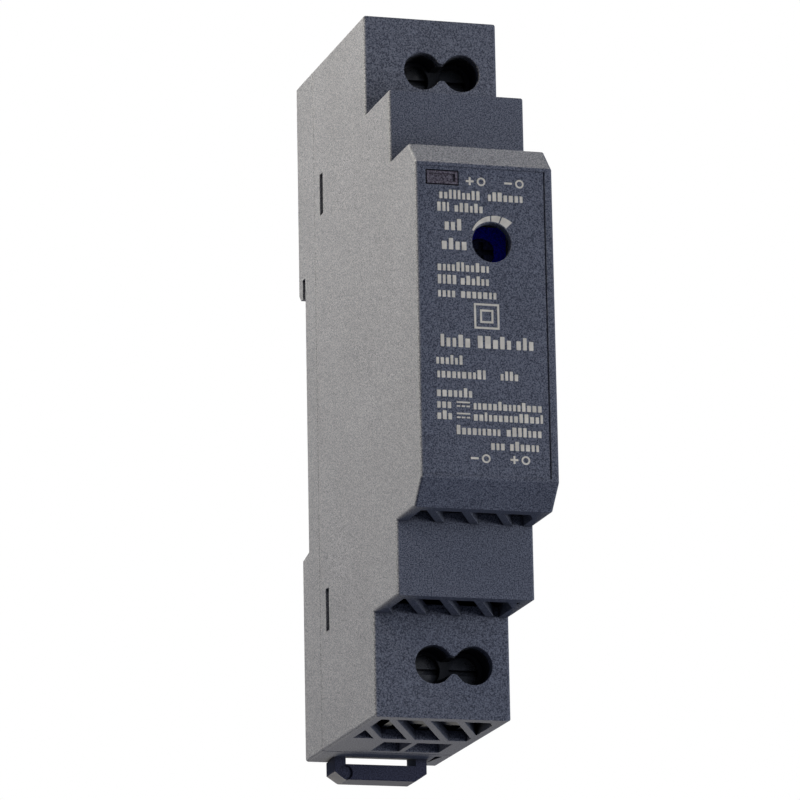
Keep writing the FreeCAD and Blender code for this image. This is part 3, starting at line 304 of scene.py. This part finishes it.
# Each slot: its kind of finish, its colour, and what sets it apart from others of that kind.
FINISHES = {
    "case_plastic": (moulded, (0.090, 0.096, 0.125), {}),
    # The clip's dark navy is partly its own plastic and partly painted shade of its front, which
    # faces away from the light.
    "clip_plastic": (moulded, (0.017, 0.018, 0.048), {"roughness": 0.6, "fleck": 0.03}),
    # On the window, the high edge setting paints a highlight round its rim.
    "window_plastic": (moulded, (0.125, 0.092, 0.105), {
        "roughness": 0.3, "grain_depth": 0.004, "mottle": 0.06, "wear": 0.5}),
    "board_laminate": (laminate, (0.016, 0.10, 0.035), {}),
    "insulation_film": (film, (0.62, 0.58, 0.46), {
        "roughness": 0.3, "Transmission_Weight": 0.25}),
    # The terminal block's near black is partly its own black plastic and partly painted shade, and
    # its painted shade reaches far out of the wells, so the screw openings read dark.
    "terminal_plastic": (moulded, (0.010, 0.011, 0.013), {
        "roughness": 0.55, "grain_depth": 0.01, "open_above": 0.85, "fleck": 0.02}),
    "plated_steel": (metal, (0.60, 0.58, 0.52), {"roughness": 0.24}),
    "cage_steel": (metal, (0.56, 0.55, 0.53), {"roughness": 0.34, "scratch": FINE_ALONG_X}),
    "tinned_brass": (metal, (0.68, 0.64, 0.54), {"roughness": 0.28}),
    "trimmer_plastic": (moulded, (0.008, 0.012, 0.85), {
        "roughness": 0.32, "grain_depth": 0.006, "mottle": 0.1, "dirt": 0.2, "open_above": 0.1,
        "fleck": 0.02}),
    # The rotor's blue is darkened to near black, a painted shade for the dark inside the adjuster
    # hole.
    "rotor_plastic": (moulded, (0.004, 0.006, 0.07), {
        "roughness": 0.3, "grain_depth": 0.004, "mottle": 0.1, "dirt": 0.8, "fleck": 0.02}),
    "led_epoxy": (film, (0.45, 0.60, 0.42), {"roughness": 0.12, "Transmission_Weight": 0.6}),
    "chip_epoxy": (ceramic, (0.018, 0.018, 0.020), {}),
    "end_cap_ceramic": (ceramic, (0.50, 0.50, 0.48), {"roughness": 0.35, "mottle": 0.12}),
    "chip_ceramic": (ceramic, (0.34, 0.24, 0.15), {"roughness": 0.42}),
    "can_aluminium": (metal, (0.80, 0.80, 0.80), {"roughness": 0.3}),
    "sleeve_film": (film, (0.012, 0.018, 0.035), {"roughness": 0.3}),
    "ferrite": (ceramic, (0.035, 0.034, 0.036), {
        "roughness": 0.6, "speck": 4200.0, "mottle": 0.4}),
    "copper_wire": (wound_wire, (0.72, 0.26, 0.09), {}),
    "bobbin_plastic": (moulded, (0.028, 0.022, 0.020), {"roughness": 0.45, "grain_depth": 0.008}),
    "yellow_tape": (film, (0.80, 0.56, 0.06), {"roughness": 0.3}),
    "disc_coating": (ceramic, (0.05, 0.16, 0.42), {
        "roughness": 0.25, "speck": 1500.0, "mottle": 0.12, "Coat_Weight": 0.6}),
}
MATERIALS = {slot: kind(f"{slot}_look", colour + (1.0,), **settings)
             for slot, (kind, colour, settings) in FINISHES.items()}


def coat(item, material):
    """Give an object one material, keeping a carried part's own slots."""
    if not item.data.materials:
        item.data.materials.append(material)
    for number in range(len(item.data.materials)):
        item.data.materials[number] = material


for node_name, node in NODES.items():
    coat(node, MATERIALS[SLOT_OF[node_name]])


# ---------------------------------------------------------------- shared mesh work

CORNER_SIDES = ((1, 1), (-1, 1), (-1, -1), (1, -1))


def rounded_outline(half_a, half_b, corner, steps):
    """Points round a rounded rectangle, each followed by its outward direction."""
    points = []
    for turn, (side_a, side_b) in enumerate(CORNER_SIDES):
        for step in range(steps + 1):
            angle = math.radians(90 * turn + 90 * step / steps)
            out_a, out_b = math.cos(angle), math.sin(angle)
            points.append((side_a * (half_a - corner) + corner * out_a,
                           side_b * (half_b - corner) + corner * out_b, out_a, out_b))
    return points


def mesh_object(name, maker, material):
    """Turn finished mesh work into an object of the scene."""
    mesh = bpy.data.meshes.new(name)
    maker.to_mesh(mesh)
    maker.free()
    item = bpy.data.objects.new(name, mesh)
    bpy.context.scene.collection.objects.link(item)
    coat(item, material)
    return item


# ---------------------------------------------------------------- wound coils

CORNER_STEPS = 7
WIRE_SIDES = 8
WIRE_PITCH = 2.05        # from turn to turn, in wire radii
COPPER = enamelled("enamelled_copper_look", (0.72, 0.26, 0.09, 1.0))


def node_box(node):
    """Centre and half size of a node's box, in world axes."""
    corners = [node.matrix_world @ Vector(corner) for corner in node.bound_box]
    low = Vector([min(corner[k] for corner in corners) for k in range(3)])
    high = Vector([max(corner[k] for corner in corners) for k in range(3)])
    return (low + high) / 2, (high - low) / 2


def wire_rings(maker, centre, half, axis, wire_radius, corner_share):
    """Circles of vertices along a wire that fills a box with turns about one axis."""
    across_a, across_b = (k for k in range(3) if k != axis)
    half_a, half_b = half[across_a] - wire_radius, half[across_b] - wire_radius
    outline = rounded_outline(half_a, half_b, min(half_a, half_b) * corner_share, CORNER_STEPS)
    travelled = [0.0]
    for number, point in enumerate(outline):
        following = outline[(number + 1) % len(outline)]
        travelled.append(travelled[-1] + math.dist(point[:2], following[:2]))
    length = (half[axis] - wire_radius) * 2
    turns = int(length / (wire_radius * WIRE_PITCH))
    rings = []
    for number in range(turns * len(outline) + 1):
        turn, spot = divmod(number, len(outline))
        a, b, out_a, out_b = outline[spot]
        along = -length / 2 + length * (turn + travelled[spot] / travelled[-1]) / turns
        ring = []
        for side in range(WIRE_SIDES):
            angle = math.tau * side / WIRE_SIDES
            point = Vector((0.0, 0.0, 0.0))
            point[across_a] = a + out_a * wire_radius * math.cos(angle)
            point[across_b] = b + out_b * wire_radius * math.cos(angle)
            point[axis] = along + wire_radius * math.sin(angle)
            ring.append(maker.verts.new(centre + point))
        rings.append(ring)
    return rings


def wind(node_name, axis, wire_radius, corner_share):
    """Replace a solid winding by one wire laid in real turns inside the same space."""
    centre, half = node_box(NODES[node_name])
    maker = bmesh.new()
    rings = wire_rings(maker, centre, half, axis, wire_radius, corner_share)
    for ring, following in zip(rings, rings[1:]):
        for side in range(WIRE_SIDES):
            beside = (side + 1) % WIRE_SIDES
            maker.faces.new((ring[side], ring[beside], following[beside], following[side]))
    maker.faces.new(rings[0][::-1])
    maker.faces.new(rings[-1])
    bmesh.ops.recalc_face_normals(maker, faces=maker.faces)
    item = mesh_object(f"{node_name}_turns", maker, COPPER)
    item.data.polygons.foreach_set("use_smooth", [True] * len(item.data.polygons))
    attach(item, "root")
    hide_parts(node_name)


# The share is the corner's radius against the smaller half width: 1 winds round, less winds square.
for node_name, axis, wire_radius, corner_share in (
        ("input_choke_winding", 0, 0.28 * MM, 1.0),
        ("output_choke_winding", 0, 0.30 * MM, 1.0),
        ("transformer_secondary", 2, 0.20 * MM, 0.12)):
    wind(node_name, axis, wire_radius, corner_share)


# ---------------------------------------------------------------- printed marks

# Lengths in this section are in millimetres, on the label face seen from the front.
LABEL_RECESS = 0.1
LABEL_Y = round(cad_box[0][1] / MM, 3) + LABEL_RECESS
INK_PROUD = 0.02
INK_SUNK = 0.01

BLOCK_GAP = 0.19         # these three are shares of a word's height
BLOCK_WIDTHS = (0.28, 0.46)
BLOCK_HEIGHTS = (0.72, 0.72, 1.0)
BLOCK_CORNER = 0.07

LINE = 0.26
LINE_CORNER = 0.06
PILL_STEPS = 3
RING_STEPS = 10

FINE_LINE = 0.2
FINE_CORNER = 0.05
CURRENT_WIDTH = 1.7
CURRENT_LINE_UP = 0.26
CURRENT_DASH_DOWN = 0.22
DASH_SPACING = 0.36      # these two are shares of the sign's width
DASH_LENGTH = 0.26

SIGN_SIZE = 1.0
SIGN_TO_RING = 1.45
RING_RADIUS = 0.55
RING_WIDTH = 0.22

ADJUSTER = (0.85, 10.0)
SCALE_BANDS = ((150, 93), (90, 70), (67, 45))
SCALE_INNER = 2.64
SCALE_OUTER = 2.85
SCALE_GROWTH = 0.9

SQUARES_Z = 0.65
SQUARE_HALVES = (1.6, 0.85)
SQUARE_CORNER = 0.04


class Printer:
    """Collects flat marks, each a thin closed prism on the label face."""

    def __init__(self):
        self.maker = bmesh.new()

    def prism(self, outline):
        front = [self.maker.verts.new((x * MM, (LABEL_Y - INK_PROUD) * MM, z * MM))
                 for x, z in outline]
        rear = [self.maker.verts.new((x * MM, (LABEL_Y + INK_SUNK) * MM, z * MM))
                for x, z in outline]
        self.maker.faces.new(front)
        self.maker.faces.new(rear[::-1])
        for number in range(len(outline)):
            following = (number + 1) % len(outline)
            self.maker.faces.new((front[following], front[number], rear[number],
                                  rear[following]))

    def pill(self, x, z, width, height, corner):
        """A bar about a centre, with rounded corners."""
        outline = rounded_outline(width / 2, height / 2, corner, PILL_STEPS)
        self.prism([(x + across, z + up) for across, up, *_ in outline])

    def band(self, centre, inner, outer, start, end, steps=14):
        """Part of a ring. The outer radius runs evenly from its first to its last value."""
        def arc(radii, order):
            points = []
            for step in order:
                share = step / steps
                angle = math.radians(start + (end - start) * share)
                radius = radii[0] + (radii[1] - radii[0]) * share
                points.append((centre[0] + radius * math.cos(angle),
                               centre[1] + radius * math.sin(angle)))
            return points
        self.prism(arc(outer, range(steps + 1)) + arc((inner, inner), range(steps, -1, -1)))

    def ring(self, x, z, radius, width):
        """A ring in two halves that meet."""
        for start in (0, 180):
            self.band((x, z), radius - width, (radius, radius), start, start + 180, RING_STEPS)

    def word(self, left, right, z, height):
        """A row of plain blocks in place of a printed word, on one base line."""
        gap = height * BLOCK_GAP
        x = left
        while x < right - gap:
            width = min(random.uniform(*BLOCK_WIDTHS) * height, right - x)
            tall = height * random.choice(BLOCK_HEIGHTS)
            self.pill(x + width / 2, z + (tall - height) / 2, width, tall, BLOCK_CORNER)
            x += width + gap

    def minus(self, x, z):
        self.pill(x, z, SIGN_SIZE, LINE, LINE_CORNER)

    def plus(self, x, z):
        """A minus with a short bar above and below it."""
        self.minus(x, z)
        for side in (1, -1):
            self.pill(x, z + side * (SIGN_SIZE + LINE) / 4, LINE, (SIGN_SIZE - LINE) / 2,
                      LINE_CORNER)

    def direct_current(self, x, z):
        """A full line over three dashes."""
        self.pill(x, z + CURRENT_LINE_UP, CURRENT_WIDTH, FINE_LINE, FINE_CORNER)
        for number in (-1, 0, 1):
            self.pill(x + number * CURRENT_WIDTH * DASH_SPACING, z - CURRENT_DASH_DOWN,
                      CURRENT_WIDTH * DASH_LENGTH, FINE_LINE, FINE_CORNER)

    def square(self, x, z, half):
        """The outline of a square, as two long bars and two between them."""
        for side in (1, -1):
            off = side * (half - LINE / 2)
            self.pill(x, z + off, half * 2, LINE, SQUARE_CORNER)
            self.pill(x + off, z, LINE, (half - LINE) * 2, SQUARE_CORNER)

    def finish(self, name, material):
        bmesh.ops.recalc_face_normals(self.maker, faces=self.maker.faces)
        item = mesh_object(name, self.maker, material)
        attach(item, "root")


# Each row: height above the middle of the face, height of the marks, left and right of each word.
WORD_ROWS = (
    (15.8, 1.15, ((-5.7, -0.3), (0.5, 4.9))),
    (14.2, 1.15, ((-6.0, -4.5), (-3.8, 0.2))),
    (12.0, 1.45, ((-5.1, -3.0),)),
    (9.55, 1.45, ((-5.5, -2.3),)),
    (6.70, 1.15, ((-6.1, 0.4),)),
    (5.05, 1.15, ((-6.1, -3.7), (-3.2, 0.5))),
    (3.40, 1.15, ((-6.1, -3.7), (-3.2, 1.7))),
    (-2.6, 1.55, ((-5.9, -1.9), (-1.2, 3.0), (3.7, 5.9))),
    (-5.0, 1.15, ((-6.5, -3.2),)),
    (-6.7, 1.15, ((-6.4, -0.3), (1.6, 4.2))),
    (-9.05, 1.15, ((-6.5, -2.0),)),
    (-10.5, 1.10, ((-6.5, -4.5), (-1.9, 7.0))),
    (-11.9, 1.10, ((-6.5, -4.5), (-1.9, 7.0))),
    (-13.65, 1.15, ((-4.1, 1.4), (2.2, 6.6))),
    (-15.4, 1.15, ((0.2, 1.9), (2.6, 6.4))),
)


def print_words(ink):
    words = Printer()
    for z, height, spans in WORD_ROWS:
        for left, right in spans:
            words.word(left, right, z, height)
    words.finish("label_word_marks", ink)


def print_signs(ink):
    """Polarity signs with rings at both ends of the face, and direct-current signs."""
    signs = Printer()
    for x, z, sign in ((-1.8, 17.6, signs.plus), (3.1, 17.6, signs.minus),
                       (-1.9, -17.1, signs.minus), (3.1, -17.1, signs.plus)):
        sign(x, z)
        signs.ring(x + SIGN_TO_RING, z, RING_RADIUS, RING_WIDTH)
    for z in (-10.5, -11.9):
        signs.direct_current(-3.2, z)
    signs.finish("label_terminal_signs", ink)


def print_scale(ink):
    """A scale above the adjuster, in three bands that widen to the right."""
    scale = Printer()
    first, last = SCALE_BANDS[0][0], SCALE_BANDS[-1][1]
    for start, end in SCALE_BANDS:
        outer = [SCALE_OUTER + (first - angle) / (first - last) * SCALE_GROWTH
                 for angle in (start, end)]
        scale.band(ADJUSTER, SCALE_INNER, outer, start, end)
    scale.finish("label_adjuster_scale", ink)


def print_double_square(ink):
    symbol = Printer()
    for half in SQUARE_HALVES:
        symbol.square(0.0, SQUARES_Z, half)
    symbol.finish("label_double_square", ink)


ink = film("print_ink_look", (0.80, 0.71, 0.55, 1.0), 0.5, (900.0, 900.0, 900.0))
for print_marks in (print_words, print_signs, print_scale, print_double_square):
    print_marks(ink)


# ---------------------------------------------------------------- camera, light and floor

SENSOR = 36.0
LENS = 250.7175
CAMERA_DISTANCE = 0.700
CAMERA_AZIMUTH, CAMERA_ELEVATION, CAMERA_ROLL = -16.237, -13.612, -1.044
CAMERA_TARGET = Vector((0.0, -0.026, 0.0))
CAMERA_SHIFT = (-3.543 * MM, -3.644 * MM)

SEEN_COLOUR = (1.0, 1.0, 1.0)
AMBIENT_COLOUR = (0.115, 0.135, 0.200)

FLOOR_HEIGHT = -0.85
FLOOR_HALF_SIDE = 12.0
FLOOR_GLOW = 0.86
FLOOR_GLOW_COLOUR = (1.0, 0.985, 0.94, 1.0)

LIGHT_AIM = Vector((0.0, -0.024, 0.0))
# Each light: name, place in metres, diameter, watts and colour.
LIGHTS = (
    ("key_left", (-0.25, -0.012, 0.19), 0.14, 2.7, (1.0, 0.94, 0.78)),
    ("top", (-0.10, -0.12, 0.95), 0.4, 2.2, (1.0, 0.96, 0.84)),
    ("under", (-0.05, 0.75, -0.60), 0.5, 4.6, (1.0, 0.95, 0.85)),
    ("fill_right", (0.60, -0.50, -0.08), 0.4, 3.9, (0.80, 0.86, 1.0)),
    ("back", (0.25, 0.80, 0.35), 0.6, 6.0, (1.0, 0.97, 0.92)),
)


def make_camera():
    """In front of the part, a little to the left and below."""
    azimuth, elevation, roll = (math.radians(angle) for angle in
                                (CAMERA_AZIMUTH, CAMERA_ELEVATION, CAMERA_ROLL))
    back = Vector((math.sin(azimuth) * math.cos(elevation),
                   -math.cos(azimuth) * math.cos(elevation), math.sin(elevation)))
    level = (-back).cross(Vector((0, 0, 1))).normalized()
    upright = level.cross(-back)
    right = level * math.cos(roll) + upright * math.sin(roll)
    up = upright * math.cos(roll) - level * math.sin(roll)
    data = bpy.data.cameras.new("camera")
    data.sensor_width = SENSOR
    data.lens = LENS
    data.clip_start = 0.01
    data.clip_end = 20.0
    camera = bpy.data.objects.new("camera", data)
    spot = CAMERA_TARGET + back * CAMERA_DISTANCE + right * CAMERA_SHIFT[0] + up * CAMERA_SHIFT[1]
    turn = Matrix((right, up, back)).transposed()
    camera.matrix_world = Matrix.Translation(spot) @ turn.to_4x4()
    bpy.context.scene.collection.objects.link(camera)
    bpy.context.scene.camera = camera


def make_light(name, spot, size, power, colour):
    data = bpy.data.lights.new(name, "AREA")
    data.shape = "DISK"
    data.size = size
    data.energy = power
    data.color = colour
    light = bpy.data.objects.new(name, data)
    light.location = spot
    light.visible_camera = False
    light.rotation_euler = (Vector(spot) - LIGHT_AIM).to_track_quat("Z", "Y").to_euler()
    bpy.context.scene.collection.objects.link(light)


def make_world():
    """White to the camera, dim and cool as a light."""
    world = bpy.data.worlds.new("studio")
    world.use_nodes = True
    nodes, links = world.node_tree.nodes, world.node_tree.links
    nodes.clear()
    ray = nodes.new("ShaderNodeLightPath")
    mixer = nodes.new("ShaderNodeMixShader")
    output = nodes.new("ShaderNodeOutputWorld")
    links.new(ray.outputs["Is Camera Ray"], mixer.inputs[0])
    for number, colour in ((1, AMBIENT_COLOUR), (2, SEEN_COLOUR)):
        shade = nodes.new("ShaderNodeBackground")
        shade.inputs["Color"].default_value = colour + (1,)
        links.new(shade.outputs[0], mixer.inputs[number])
    links.new(mixer.outputs[0], output.inputs["Surface"])
    bpy.context.scene.world = world


def make_floor():
    """A pale floor that glows a little and sheds no light on the part."""
    make = Finish("floor_look", Emission_Color=FLOOR_GLOW_COLOUR, Emission_Strength=FLOOR_GLOW)
    shade = make.noise(3.0, 2.0)
    paint = make.mix(shade, (0.80, 0.80, 0.79, 1.0), (0.86, 0.86, 0.86, 1.0))
    look = make.finish(paint, make.ramp(shade, 0.0, 1.0, 0.8, 0.95))
    maker = bmesh.new()
    bmesh.ops.create_grid(maker, x_segments=1, y_segments=1, size=FLOOR_HALF_SIDE)
    floor = mesh_object("floor", maker, look)
    floor.location.z = FLOOR_HEIGHT
    floor.visible_diffuse = False
    floor.visible_glossy = False


make_camera()
make_world()
make_floor()
for light in LIGHTS:
    make_light(*light)
bpy.context.scene.view_settings.view_transform = "Standard"
